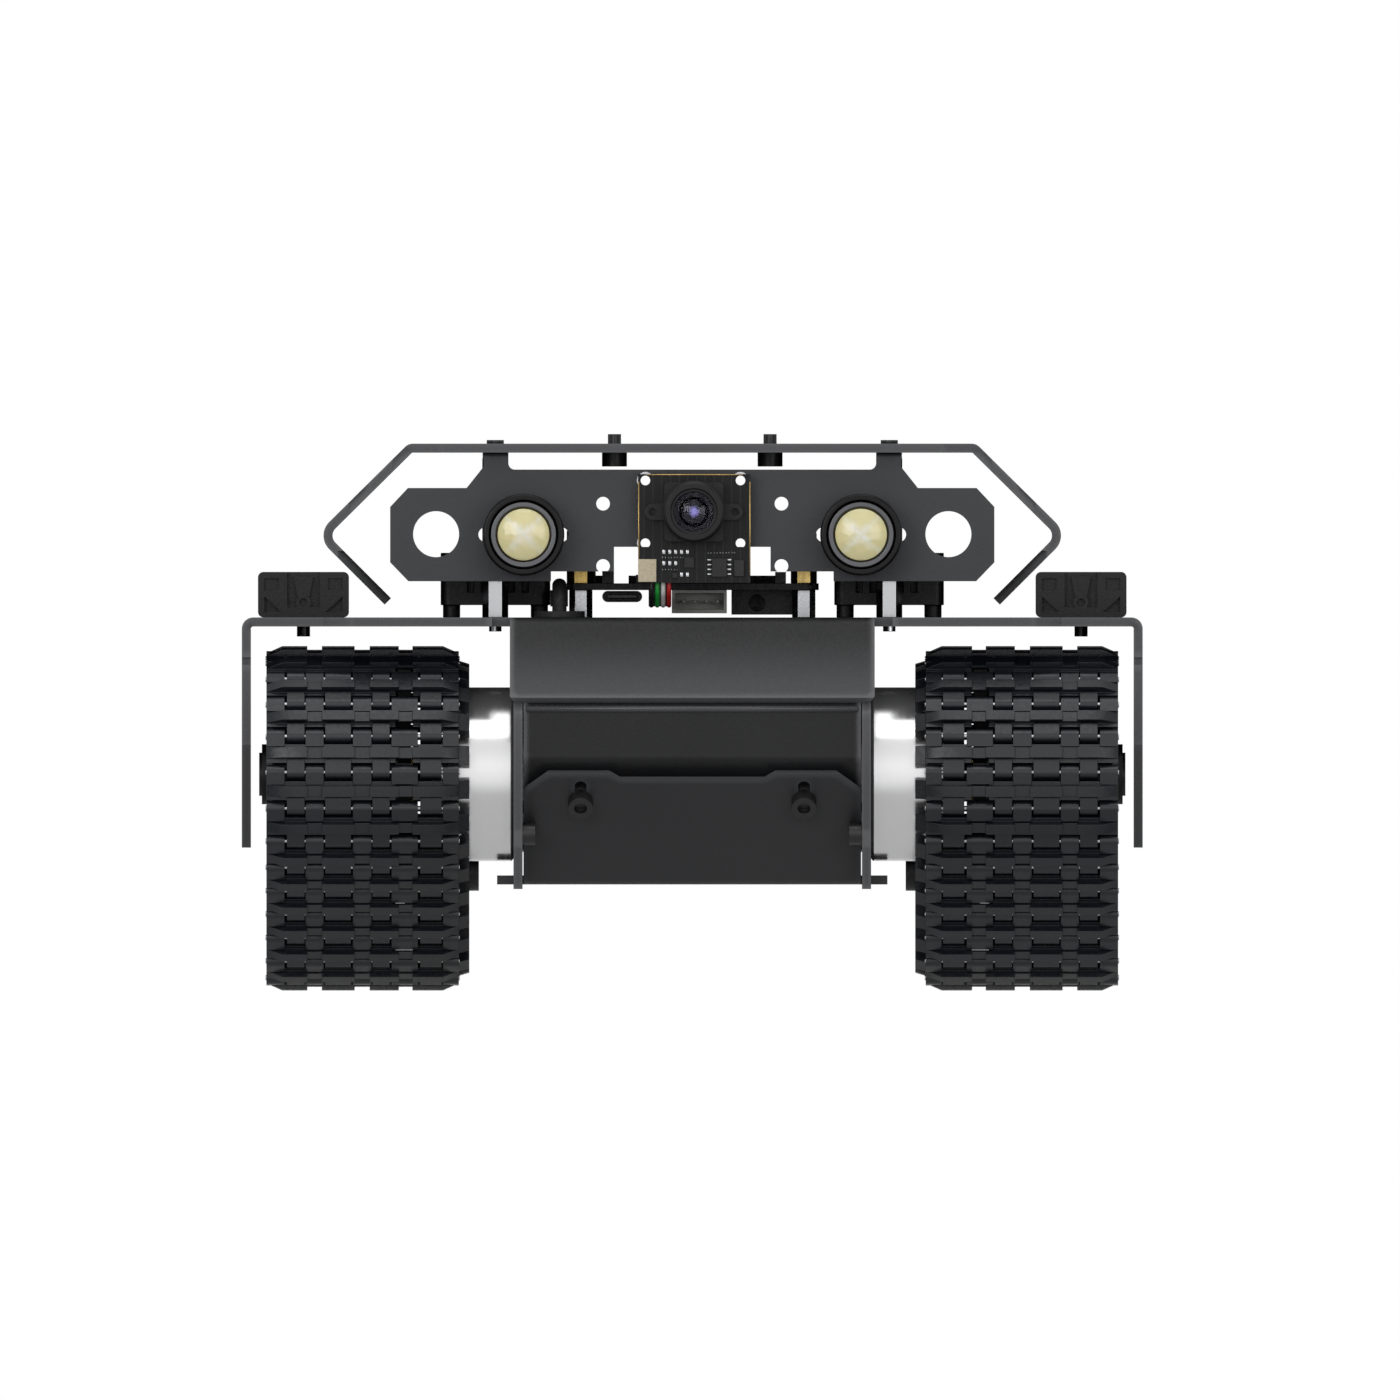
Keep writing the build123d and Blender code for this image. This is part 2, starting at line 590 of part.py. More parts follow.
def bogie(pivot):
    """Rocking arm with two stub axles."""
    reach = END_WHEEL / 3
    half = [(6, PIVOT_Z + 6.5), (reach + 5, WHEEL_Z + 2), (reach + 4, WHEEL_Z - 5), (reach - 4, WHEEL_Z - 5)]
    half.append((8, PIVOT_Z - 7))
    outline = [(pivot + y, z) for y, z in half] + [(pivot - y, z) for y, z in half[::-1]]
    arm = prism("x", outline, *BOGIE_X)
    arm = arm - rod("x", 3.05, (pivot, PIVOT_Z), 60, 66)
    for side in (-1, 1):
        spot = (pivot + side * reach, WHEEL_Z)
        arm += rod("x", 2.0, spot, BOGIE_X[0], 93.4) + rod("x", 3.4, spot, BOGIE_X[0], WHEEL_X[0] - 0.4)
        arm += rod("x", 3.0, spot, 92.8, 93.4)
    return arm


def bogie_pivots():
    """Shouldered pivot bolts, their heads inboard of the track."""
    made = []
    for y in PIVOT_YS:
        spot = (y, PIVOT_Z)
        bolt = rod("x", 3.0, spot, FRAME_X[0] - 0.5, 63.6) + rod("x", 4.5, spot, 46.9, FRAME_X[0])
        bolt += rod("x", 5.0, spot, 63.5, 65.2)
        made.append(bolt - bar("x", hexagon(4.0), spot, 46, 49))
    return made


def road_wheel(y):
    """Road wheel with two treads and a waist between them."""
    radius = WHEEL_LINE - KNUCKLE_R - 0.35
    spot = (y, WHEEL_Z)
    wheel = rod("x", radius, spot, *WHEEL_X)
    wheel -= rod("x", radius + 1, spot, 76.0, 83.0) - rod("x", radius - 3, spot, 75, 84)
    wheel = wheel - rod("x", radius - 2.2, spot, 90.8, 93) - rod("x", 2.05, spot, 60, 95)
    return wheel + (rod("x", 4.2, spot, 90.7, 92.3) - rod("x", 2.05, spot, 90, 95))


# Track

def belt_point(distance):
    """Point of the pin line, as (y, z), measured from the top of the sprocket forwards and down."""
    slope = math.degrees(SLOPE)
    wraps = [(SPROCKET_Y, SPROCKET_Z, SPROCKET_R, 90, 270 - slope),
             (-END_WHEEL, WHEEL_Z, WHEEL_LINE, 270 - slope, 270),
             (END_WHEEL, WHEEL_Z, WHEEL_LINE, 270, 270 + slope),
             (-SPROCKET_Y, SPROCKET_Z, SPROCKET_R, 270 + slope, 450)]
    left = distance % (LINKS * PITCH)
    for number, (y, z, radius, start, stop) in enumerate(wraps):
        arc = radius * math.radians(stop - start)
        if left <= arc:
            turn = math.radians(start) + left / radius
            return y + radius * math.cos(turn), z + radius * math.sin(turn)
        left -= arc
        leave = math.radians(stop)
        start_point = (y + radius * math.cos(leave), z + radius * math.sin(leave))
        y2, z2, radius2 = wraps[(number + 1) % len(wraps)][:3]
        end_point = (y2 + radius2 * math.cos(leave), z2 + radius2 * math.sin(leave))
        length = math.dist(start_point, end_point)
        if left <= length:
            share = left / length
            return tuple(a + (b - a) * share for a, b in zip(start_point, end_point))
        left -= length
    return belt_point(0)


def link():
    """One right-hand track link at the origin: its outside faces +Z and it travels towards -Y."""
    half = PITCH / 2
    shape = block((51.3, 93.6), (-2.1, 2.1), (-1.2, 1.0))
    grouser = [(51.3, -1.2), (93.6, -1.2), (93.6, GROUSER - 1.55), (90.1, GROUSER), (54.8, GROUSER),
               (51.3, GROUSER - 1.55)]
    shape += prism("y", grouser, -1.18, 1.18)
    gaps = ((81.4, 84.6), (70.9, 74.2), (61.5, 64.5))
    shape -= [block(x, (-2, 2), (GROUSER - 0.8, GROUSER + 1)) for x in gaps]
    for x in ((51.3, 54.8), (60.3, 66.1), (70.5, 74.6), (81.0, 85.0), (89.6, 93.6)):
        shape += rod("x", KNUCKLE_R, (half, 0), *x) + block(x, (1.5, half), (-1.2, KNUCKLE_R))
    for x in ((55.1, 59.8), (66.5, 70.3), (75.0, 80.7), (85.2, 89.1)):
        shape += rod("x", KNUCKLE_R, (-half, 0), *x) + block(x, (-half, -1.5), (-1.2, KNUCKLE_R))
    horn = [(51.3, -0.5), (49.0, -1.2), (49.0, -4.2), (49.7, -4.8), (51.4, -3.4), (54.6, -1.0), (54.6, -0.5)]
    shape += prism("y", horn, -2.1, 2.1)
    shape -= block((61.4, 65.2), (-2.3, 2.3), (-3, 1.3))
    return shape.solids()[0]


def track():
    """Every link of the right-hand track, and its pins."""
    single = link()
    first = SPROCKET_R * (math.pi / 2 - FIRST_GROUSER) - PITCH / 2
    pins = [belt_point(first + step * PITCH) for step in range(LINKS)]
    links, bars = [], []
    for here, after in zip(pins, pins[1:] + pins[:1]):
        middle = ((here[0] + after[0]) / 2, (here[1] + after[1]) / 2)
        turn = math.degrees(math.atan2(here[1] - after[1], here[0] - after[0]))
        links.append(Pos(0, *middle) * Rot(turn, 0, 0) * single)
        bars.append(rod("x", PIN_R, here, 51.1, 93.8))
    return links, bars


# Head

def lamp_body():
    """Right-hand lamp housing with its nut behind the panel."""
    front = PANEL_Y[0]
    body = rod("y", 9.0, LAMP, -99.6, front) + rod("y", 8.0, LAMP, front - 0.1, -83.4)
    body = fillet(body.edges().filter_by(GeomType.CIRCLE).group_by(Axis.Y)[0], 0.6)
    body -= rod("y", 7.65, LAMP, -101, -97.2)
    body -= rod("y", 5.8, LAMP, -98, -93)
    nut = rod("y", 8.8, LAMP, PANEL_Y[1], -85.2) - rod("y", 8.02, LAMP, -90, -80)
    return [body, nut]


def lamp_ring():
    """Bright ring round the lens."""
    ring = rod("y", 7.6, LAMP, -98.9, -97.2) - rod("y", 5.72, LAMP, -100, -96)
    return chamfer(ring.edges().filter_by(GeomType.CIRCLE).group_by(Axis.Y)[0], 0.5)


def lens_dome(centre, radius, back, front, bulge):
    """Round lens with a domed front face towards -Y."""
    ball = (radius * radius + bulge * bulge) / (2 * bulge)
    dome = Pos(centre[0], front - bulge + ball, centre[1]) * Sphere(ball)
    return rod("y", radius, centre, front - bulge, back) & dome


def camera_board():
    """Camera circuit board."""
    board = block((-11.9, 12.8), CAMERA_BOARD_Y, (89.6, 113.5))
    holes = [rod("y", 1.05, spot, -95, -90) for spot in camera_holes()]
    return board - holes


def camera_spacers():
    """Hollow spacers between camera board and panel."""
    ring = Circle(1.9) - Circle(1.05)
    return [bar("y", ring, spot, CAMERA_BOARD_Y[1], PANEL_Y[0]) for spot in camera_holes()]


def on_camera_board(x, z, height):
    """Small part standing on the front of the camera board."""
    return block(x, (CAMERA_BOARD_Y[0] - height, CAMERA_BOARD_Y[0]), z)


def camera_chips():
    """Black chips on the camera board."""
    return [on_camera_board((4.3, 7.6), (90.9, 95.0), 1.4), on_camera_board((-1.8, 0.4), (92.9, 95.3), 0.8),
            on_camera_board((9.2, 11.4), (91.0, 94.6), 1.2), on_camera_board((-4.4, -3.2), (90.6, 91.8), 0.9)]


def camera_small_parts():
    """Resistors, capacitors and chip legs on the camera board."""
    made = []
    for row in range(4):
        z = 91.3 + row * 1.05
        made.append(on_camera_board((3.3, 4.3), (z, z + 0.4), 0.5))
        made.append(on_camera_board((7.6, 8.6), (z, z + 0.4), 0.5))
    for column in range(5):
        x = -6.6 + column * 1.3
        made.append(on_camera_board((x, x + 0.7), (95.9, 96.9), 0.5))
        low = 90.9 if column > 2 else 93.4
        made.append(on_camera_board((x, x + 0.7), (low, low + 1.0), 0.5))
    return made


def lens_mount():
    """Square lens holder with two screw ears."""
    x, z = CAMERA
    base = block((x - 6.5, x + 6.5), (CAMERA_BOARD_Y[0] - 4.2, CAMERA_BOARD_Y[0]), (z - 6.5, z + 6.5))
    base = fillet(base.edges().filter_by(Axis.Y), 1.0)
    for side in (-1, 1):
        spot = (x + side * 9.05, z)
        base += rod("y", 1.8, spot, CAMERA_BOARD_Y[0] - 2.2, CAMERA_BOARD_Y[0])
        ear = (CAMERA_BOARD_Y[0] - 2.2, CAMERA_BOARD_Y[0])
        base += block((x + side * 6, x + side * 9.05), ear, (z - 1.8, z + 1.8))
    base -= [rod("y", 0.8, (x + side * 9.05, z), -97, -94.4) for side in (-1, 1)]
    return base + rod("y", 6.9, CAMERA, -99.2, -97.8) - rod("y", 6.05, CAMERA, -100, -95)


def lens_barrel():
    """Threaded lens barrel with a stepped front."""
    barrel = rod("y", 6.0, CAMERA, -99.5, -95.2) + rod("y", 6.7, CAMERA, -104.6, -99.3)
    barrel = chamfer(barrel.edges().filter_by(GeomType.CIRCLE).group_by(Axis.Y)[0], 0.5)
    barrel -= rod("y", 5.1, CAMERA, -106, -103.6) + rod("y", 4.4, CAMERA, -104, -102.4)
    return barrel - rod("y", 3.2, CAMERA, -103, -97)


# Electronics

def driver_board():
    """Motor driver board under the place for the computer."""
    board = block((-28.4, 27.8), (-70, 14), BOARD_Z)
    board = round_edges(board, "z", 2.5, [(x, y) for x in (-28.4, 27.8) for y in (-70, 14)])
    x, near, far = BOARD_HOLES
    return board - [rod("z", STUD_R + 0.1, (side * x, y), 87, 91) for side in (-1, 1) for y in (near, far)]


def board_posts(low, high, flats, hole):
    """Four hexagonal posts at the board's holes, tapped from their top."""
    x, near, far = BOARD_HOLES
    made = []
    for spot in [(side * x, y) for side in (-1, 1) for y in (near, far)]:
        post = bar("z", hexagon(flats), spot, low, high)
        made.append(post - rod("z", hole, spot, high - 5, high + 1))
    return made


def risers():
    """Brass posts for the computer, their studs screwed into the posts below the board."""
    x, near, far = BOARD_HOLES
    made = board_posts(BOARD_Z[1], BOARD_Z[1] + 11, 5.0, COMPUTER_SCREW_R)
    spots = [(side * x, y) for side in (-1, 1) for y in (near, far)]
    return [post + rod("z", STUD_R, spot, BOARD_Z[0] - 4, BOARD_Z[1]) for post, spot in zip(made, spots)]


def metal_sockets():
    """Pressed metal shells: a flat data socket and a tall one."""
    made = []
    spot = (-15.4, 86.6)
    shell = bar("y", SlotOverall(8.8, 2.5), spot, -71.2, -64) - bar("y", SlotOverall(8.2, 1.9), spot, -72, -65)
    made.append(shell + bar("y", SlotOverall(6.6, 0.7), spot, -70.6, -64.5))
    tall = block((-27.6, -21.2), (-30, -14), (BOARD_Z[1], 101))
    made.append(tall - block((-27.0, -21.8), (-31, -16), (90.2, 100.3)))
    return made


def wafer_socket():
    """Pale plug socket with its contacts."""
    box = block((-4.5, 7.6), (-71.5, -64.5), (82.9, 88.0)) - block((-3.8, 6.9), (-72, -66), (83.7, 87.3))
    for step in range(4):
        x = -2.2 + step * 2.5
        box += block((x, x + 0.6), (-71.0, -65), (85.2, 85.8))
    return box


def black_parts():
    """Coils, terminal block, sockets and chips of the driver board."""
    top = BOARD_Z[1]
    terminals = block((-11.4, 11.4), (3, 11), (top, 97.5))
    terminals -= [rod("y", 1.7, (x, 93.8), 9, 12) for x in (-8.1, -2.7, 2.7, 8.1)]
    coil = block((8.6, 23.5), (-60, -46), (82.6, 88.0)) - rod("y", 1.9, (14.2, 85.2), -61, -52)
    low = [
        block((-19.8, -17.2), (-69, -66), (top, 92.2)),
        block((-12.4, -10.9), (-69, -66), (top, 91.4)),
        block((18.2, 20.6), (-69.5, -62), (top, 92.0)),
        block((-8, 8), (-46, -30), (top, 91.1)),
        block((11, 19), (-30, -22), (top, 91.2)),
        block((-26.4, -18), (3, 9), (top, 91.2)),
        block((-14, -8), (-26, -16), (top, 91.2)),
    ]
    return [coil, terminals] + low


def header():
    """Two-row pin socket for the computer."""
    body = block((22.4, 27.4), (-60, -9), (BOARD_Z[1], 98))
    holes = [block((x - 0.4, x + 0.4), (y - 0.4, y + 0.4), (96, 99))
             for x in (23.6, 26.2) for y in [-58.6 + 2.54 * step for step in range(20)]]
    return body - holes


def speaker():
    """Right-hand loudspeaker box with a slotted outlet and four feet."""
    box = block((31.2, 55.3), (-64, -20), (84.7, 96.2))
    box = fillet(box.edges().filter_by(Axis.Z), 2.0)
    box -= [block((36 + 3 * step, 37.4 + 3 * step), (-65, -61), (87.5, 93.5)) for step in range(5)]
    box -= bar("z", Circle(8.5) - Circle(7.6), (43.25, -42), 95.4, 97)
    feet = [rod("z", 1.9, (x, y), DECK_TOP, 84.8) for x in (33.6, 52.9) for y in (-60, -24)]
    return [box + feet]


def battery_holder():
    """Open tray for three cells."""
    tray = block((-35.5, 35.5), (-32.5, 32.5), (25.4, 40))
    for y in (-20.8, 0, 20.8):
        tray -= rod("x", 9.6, (y, 36.4), -33.2, 33.2)
        tray -= block((-33.2, 33.2), (y - 9.6, y + 9.6), (36.4, 41))
    return tray


def cells():
    """Three round cells with raised contacts."""
    made = []
    for number, y in enumerate((-20.8, 0, 20.8)):
        end = 1 if number % 2 else -1
        cap = sorted((end * 32.5, end * 33.1))
        made.append(rod("x", 9.2, (y, 36.4), -32.5, 32.5) + rod("x", 3.0, (y, 36.4), *cap))
    return made


def lead(points, radius, bend):
    """Round cable along straight runs joined by arcs."""
    path = FilletPolyline(*points, radius=bend)
    start = path.edges()[0]
    plane = Plane(origin=start @ 0, z_dir=start % 0)
    tube = sweep(plane * Circle(radius), path=path)
    print("lead", round(path.length, 1), "mm long, volume ratio",
          round(tube.volume / (path.length * math.pi * radius * radius), 3))
    return tube


def camera_wires():
    """Four thin wires from the camera board to the driver board."""
    made = []
    for step in range(4):
        x = -9.0 + step * 1.3
        points = [(x, -91.1, 92.4), (x, -91.1, 87.6), (x, -87.0, 84.6), (x, -80.0, 84.9), (x, -76.0, 86.2),
                  (x, -71.0, 86.2)]
        made.append(lead(points, 0.5, 2.4))
    return made


def wire_plugs():
    """Plugs at both ends of the camera wires."""
    back = block((-9.6, -4.7), (-92.1, -90.1), (92.4, 95.6))
    front = block((-9.6, -4.7), (-71.0, -65.0), (84.4, 88.0))
    return [back, front]


def motor_lead():
    """Sleeved lead from the left motor's encoder, up through the deck and back to the board."""
    x, y = LEAD_HOLE
    points = [(-5.55, SPROCKET_Y, SPROCKET_Z + 12), (-5.55, SPROCKET_Y, 71.0), (x, y, 73.0), (x, y, 89.0),
              (x, -77.0, 89.0), (x, -73.5, 86.2), (x, -70.0, 86.2)]
    plug = block((x - 2.0, x + 1.9), (-70.0, -63.0), (84.4, 88.0))
    return lead(points, 1.6, 3.4), plug


def grommet():
    """Rubber ring in the deck hole of the motor lead."""
    ring = Circle(5.6) - Circle(1.75)
    neck = Circle(4.15) - Circle(1.75)
    spot = LEAD_HOLE
    return bar("z", ring, spot, 82, 83.4) + bar("z", neck, spot, 80, 82) + bar("z", ring, spot, 78.6, 80)


# Switch and charging socket, square to the tail's slope

def slope_plane(x, along):
    """Plane on the middle of the tail flange, facing out, at a distance down its slope."""
    direction = (0.5456, -0.8378)
    origin = (x, 104 + direction[0] * along, 81 + direction[1] * along)
    return Plane(origin=origin, x_dir=(1, 0, 0), z_dir=(0, 0.8378, 0.5456))


def switch_body():
    """Rocker switch housing with its bezel."""
    frame = Pos(0, 0, -5.0) * Box(12.9, 8.5, 12) + Pos(0, 0, 1.5) * Box(15.4, 11.0, 1.0)
    return slope_plane(*SWITCH) * (frame - Pos(0, 0, 0.2) * Box(11.6, 7.4, 8))


def switch_rocker():
    """Rocker with two finger faces, resting tipped to its off side."""
    barrel = Rot(90, 0, 0) * Cylinder(5.4, 7.0)
    barrel -= Pos(0, 0, -6.4) * Box(14, 9, 8)
    for side in (-1, 1):
        barrel -= Rot(0, -side * 10, 0) * (Pos(side * 6, 0, 7.3) * Box(12.0, 9, 10))
    return slope_plane(*SWITCH) * (Rot(0, ROCKER_TILT, 0) * barrel)


def charger():
    """Round charging socket."""
    body = Pos(0, 0, -4) * Cylinder(4.0, 12) + Pos(0, 0, 1.75) * Cylinder(5.6, 1.5)
    body = body - Cylinder(2.8, 10) + Pos(0, 0, -1.5) * Cylinder(0.9, 7)
    return slope_plane(*CHARGER) * body


def slope_cuts():
    """Cut-outs for switch and charging socket."""
    return [slope_plane(*SWITCH) * Box(13.0, 8.6, 8), slope_plane(*CHARGER) * Cylinder(4.05, 8)]


# All sub-parts

def build_body():
    """Register the sheet-metal body, its rails and its fasteners."""
    node("deck_plate", deck_plate() - slope_cuts())
    node("hull_sides", pairs(hull_side()))
    front = end_plate()
    node("hull_end_plates", front, mirror(front, about=Plane.XZ) - slope_cuts())
    node("hull_bottom_pan", bottom_pan())
    wall = HULL_HALF_WIDTH - SHEET
    wall_screws = [cap_screw("x", spot, wall, 1, SHEET, radius=1.35) for spot in hull_side_screws()]
    low = [pan_cap_screws(), pairs(wall_screws, frame_screws(), rail_screws())]
    node("screws", *low, standoff_caps(), washers(), accessory_screws())
    node("roof_plate", roof_plate())
    node("roof_standoffs", standoffs())
    node("rails", pairs(rail()))
    cap = rail_cap()
    node("rail_end_caps", pairs(cap, mirror(cap, about=Plane.XZ)))


def build_drive():
    """Register motors, frames, wheels and tracks."""
    node("gearboxes", pairs(gearbox()))
    node("motors", pairs(motor(), encoder()))
    node("side_frames", pairs(side_frame()))
    node("frame_spacers", pairs(frame_spacers()))
    node("wheel_axles", pairs(idler_axle(), bogie_pivots()))
    sides("drive_shaft", drive_shaft())
    sides("drive_sprocket", sprocket())
    sides("idler_wheel", idler())
    sides("bogie_front", bogie(PIVOT_YS[0]))
    sides("bogie_rear", bogie(PIVOT_YS[1]))
    for number, y in enumerate(WHEEL_YS, start=1):
        sides("road_wheel_" + str(number), road_wheel(y))
    links, pins = track()
    sides("track", links)
    sides("track_pins", pins)


def build_head():
    """Register the camera panel with its lamps and camera."""
    node("camera_panel", camera_panel())
    node("headlight_bodies", pairs(lamp_body()))
    node("headlight_rings", pairs(lamp_ring()))
    node("headlight_lenses", pairs(lens_dome(LAMP, 5.7, -93.6, -98.9, 1.3)))
    node("camera_board", camera_board())
    node("camera_chips", camera_chips())
    can = on_camera_board((-11.9, -7.9), (89.8, 94.8), 1.6)
    node("camera_metal_parts", camera_small_parts(), can, camera_spacers())
    node("camera_lens_mount", lens_mount())
    node("camera_lens_barrel", lens_barrel())
    node("camera_lens", lens_dome(CAMERA, 4.38, -102.5, -103.4, 0.9))
    node("camera_wires", camera_wires())


def build_electronics():
    """Register boards, power and wiring."""
    node("driver_board", driver_board())
    node("board_standoffs", board_posts(DECK_TOP, BOARD_Z[0], 4.5, STUD_R + 0.05))
    node("board_risers", risers())
    node("board_sockets", metal_sockets())
    cable, plug = motor_lead()
    node("board_parts", black_parts(), header(), wire_plugs(), plug)
    node("wafer_socket", wafer_socket())
    node("speaker_boxes", pairs(speaker()))
    node("battery_holder", battery_holder())
    node("battery_cells", cells())
    node("motor_lead", cable, grommet())
    node("power_switch_body", switch_body())
    node("power_switch_rocker", switch_rocker())
    node("charging_socket", charger())


def write_parts():
    """Write each sub-part to its own file."""
    os.makedirs("parts", exist_ok=True)
    for name, solids in nodes.items():
        shape = solids[0] if len(solids) == 1 else Compound(solids)
        export_step(shape, "parts/" + name + ".step")
    print(len(nodes), "sub-parts, wheelbase", round(WHEELBASE, 2), "end wheels at", round(END_WHEEL, 2))


build_body()
build_drive()
build_head()
build_electronics()
write_parts()
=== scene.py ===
import math

import bmesh
import bpy
from mathutils import Matrix, Vector


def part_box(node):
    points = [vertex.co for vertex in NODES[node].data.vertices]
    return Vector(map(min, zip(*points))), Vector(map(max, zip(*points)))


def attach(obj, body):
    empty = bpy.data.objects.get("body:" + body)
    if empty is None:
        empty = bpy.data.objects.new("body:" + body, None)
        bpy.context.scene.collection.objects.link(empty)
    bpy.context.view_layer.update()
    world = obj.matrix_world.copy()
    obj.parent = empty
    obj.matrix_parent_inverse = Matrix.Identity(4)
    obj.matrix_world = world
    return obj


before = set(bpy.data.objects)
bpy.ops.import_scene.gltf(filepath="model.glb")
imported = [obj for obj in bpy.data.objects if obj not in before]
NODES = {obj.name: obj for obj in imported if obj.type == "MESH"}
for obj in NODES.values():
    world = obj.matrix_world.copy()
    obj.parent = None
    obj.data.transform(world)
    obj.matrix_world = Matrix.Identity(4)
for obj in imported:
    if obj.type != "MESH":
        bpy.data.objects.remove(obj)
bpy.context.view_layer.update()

MM = 0.001
SCENE = bpy.context.scene

NOISE_RANGE = (0.3, 0.7)  # where most values of a noise texture lie
BLOTCHES = 28.0  # cycles per metre of the broad change in colour
GRAIN_DETAIL = 4.0
GRAIN_STRENGTH = 0.6

# Paler cut edges of sheet metal, partly bare-metal wear and partly a painted highlight, are found by looking
# into it, a little less deep than it is thick
EDGE_DEPTH = 1.85 * MM
EDGE_NONE, EDGE_FULL = 0.85, 0.6  # openness of the metal's inside where the edge's colour starts and is full

# Deck's end slopes: heights where the painted light, paler lower down the slopes, is full and gone, and its
# reach in from the ends
SLOPE_LOW, SLOPE_HIGH = 63 * MM, 80 * MM
SLOPE_LENGTH = 11.5 * MM
SLOPE_PAINTED_LIGHT = (0.062, 0.064, 0.068)

LAMP_X = 37.1 * MM  # a headlight's distance from the middle
CAN_RIGHT, CAN_TOP = -7.5 * MM, 95.5 * MM  # the camera board's cream can lies left of and below these
HEM_HEIGHT, HEM_RADIUS = 61.9 * MM, 0.75 * MM
# Rows of tiny resistors on the camera board, in mm: height, start and count
RESISTOR_ROWS = ((94.9, -6.6, 4), (92.2, -6.6, 3), (95.9, 3.4, 5))
RESISTOR_STEP = 1.3


# Materials

def feed(tree, socket, value):
    """Links a socket to another one, or gives it a plain value."""
    if isinstance(value, bpy.types.NodeSocket):
        tree.links.new(value, socket)
    else:
        socket.default_value = value


def new_material(name):
    """Empty Principled material; returns it with its node tree and shader."""
    material = bpy.data.materials.new(name)
    material.use_nodes = True
    tree = material.node_tree
    return material, tree, tree.nodes["Principled BSDF"]


def object_place(tree, stretch=(1, 1, 1)):
    """Object coordinates, stretched for directional grain."""
    place = tree.nodes.new("ShaderNodeTexCoord")
    mapping = tree.nodes.new("ShaderNodeMapping")
    mapping.inputs["Scale"].default_value = stretch
    tree.links.new(place.outputs["Object"], mapping.inputs["Vector"])
    return mapping.outputs["Vector"]


def split_place(tree, kind="Object"):
    """Coordinates of a kind, whole and split into X, Y and Z."""
    place = tree.nodes.new("ShaderNodeTexCoord")
    split = tree.nodes.new("ShaderNodeSeparateXYZ")
    tree.links.new(place.outputs[kind], split.inputs[0])
    return place.outputs[kind], split.outputs


def calculate(tree, operation, *values):
    """One maths node over sockets and numbers."""
    node = tree.nodes.new("ShaderNodeMath")
    node.operation = operation
    for socket, value in zip(node.inputs, values):
        feed(tree, socket, value)
    return node.outputs[0]


def distance(tree, across, up):
    """Length of the vector (across, up)."""
    squares = [calculate(tree, "MULTIPLY", side, side) for side in (across, up)]
    return calculate(tree, "SQRT", calculate(tree, "ADD", *squares))


def noise(tree, vector, scale, detail=3.0):
    """Noise texture's value."""
    texture = tree.nodes.new("ShaderNodeTexNoise")
    texture.inputs["Scale"].default_value = scale
    texture.inputs["Detail"].default_value = detail
    tree.links.new(vector, texture.inputs["Vector"])
    return texture.outputs["Fac"]


def ramp(tree, factor, low, high, start=NOISE_RANGE[0], end=NOISE_RANGE[1]):
    """Colour ramp between two colours."""
    return stepped_ramp(tree, factor, ((start, low), (end, high)), "LINEAR")


def stepped_ramp(tree, factor, stops, interpolation):
    """Colour ramp over (position, colour) stops."""
    node = tree.nodes.new("ShaderNodeValToRGB")
    node.color_ramp.interpolation = interpolation
    elements = node.color_ramp.elements
    while len(elements) < len(stops):
        elements.new(0.5)
    for element, (position, colour) in zip(elements, stops):
        element.position = position
        element.color = (*colour, 1)
    tree.links.new(factor, node.inputs["Fac"])
    return node.outputs["Color"]


def spread(tree, factor, low, high, start=NOISE_RANGE[0], end=NOISE_RANGE[1], smooth=False):
    """Maps a value from start..end to low..high."""
    node = tree.nodes.new("ShaderNodeMapRange")
    if smooth:
        node.interpolation_type = "SMOOTHSTEP"
    node.inputs["From Min"].default_value = start
    node.inputs["From Max"].default_value = end
    node.inputs["To Min"].default_value = low
    node.inputs["To Max"].default_value = high
    tree.links.new(factor, node.inputs["Value"])
    return node.outputs["Result"]


def mixed(tree, factor, first, second):
    """Mix of two colours, each a socket or (red, green, blue)."""
    mix = tree.nodes.new("ShaderNodeMix")
    mix.data_type = "RGBA"
    tree.links.new(factor, mix.inputs["Factor"])
    for name, colour in (("A", first), ("B", second)):
        feed(tree, mix.inputs[name], (*colour, 1) if isinstance(colour, tuple) else colour)
    return mix.outputs["Result"]


def bump(tree, shader, height, strength, depth):
    """Bump from a height value."""
    node = tree.nodes.new("ShaderNodeBump")
    node.inputs["Strength"].default_value = strength
    node.inputs["Distance"].default_value = depth
    tree.links.new(height, node.inputs["Height"])
    tree.links.new(node.outputs["Normal"], shader.inputs["Normal"])


def pale_edges_wear_and_highlight(tree, colour, edge):
    """Blends a colour towards a paler one on the cut edges of sheet, found by looking into the metal; the
    paler edge is partly wear and partly a painted highlight.
    """
    inside = tree.nodes.new("ShaderNodeAmbientOcclusion")
    inside.inside = True
    inside.only_local = True
    inside.samples = 6
    inside.inputs["Distance"].default_value = EDGE_DEPTH
    thin = spread(tree, inside.outputs["AO"], 0.0, 1.0, EDGE_NONE, EDGE_FULL)
    return mixed(tree, thin, colour, edge)


def painted_slope_light(tree, colour):
    """Paints light onto the deck's front and rear slopes: blends a colour towards a paler one further down
    them.
    """
    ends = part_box("deck_plate")[1].y - SLOPE_LENGTH
    _, axes = split_place(tree)
    down = spread(tree, axes["Z"], 0.0, 1.0, SLOPE_HIGH, SLOPE_LOW, smooth=True)
    out = calculate(tree, "GREATER_THAN", calculate(tree, "ABSOLUTE", axes["Y"]), ends)
    return mixed(tree, calculate(tree, "MULTIPLY", down, out), colour, SLOPE_PAINTED_LIGHT)


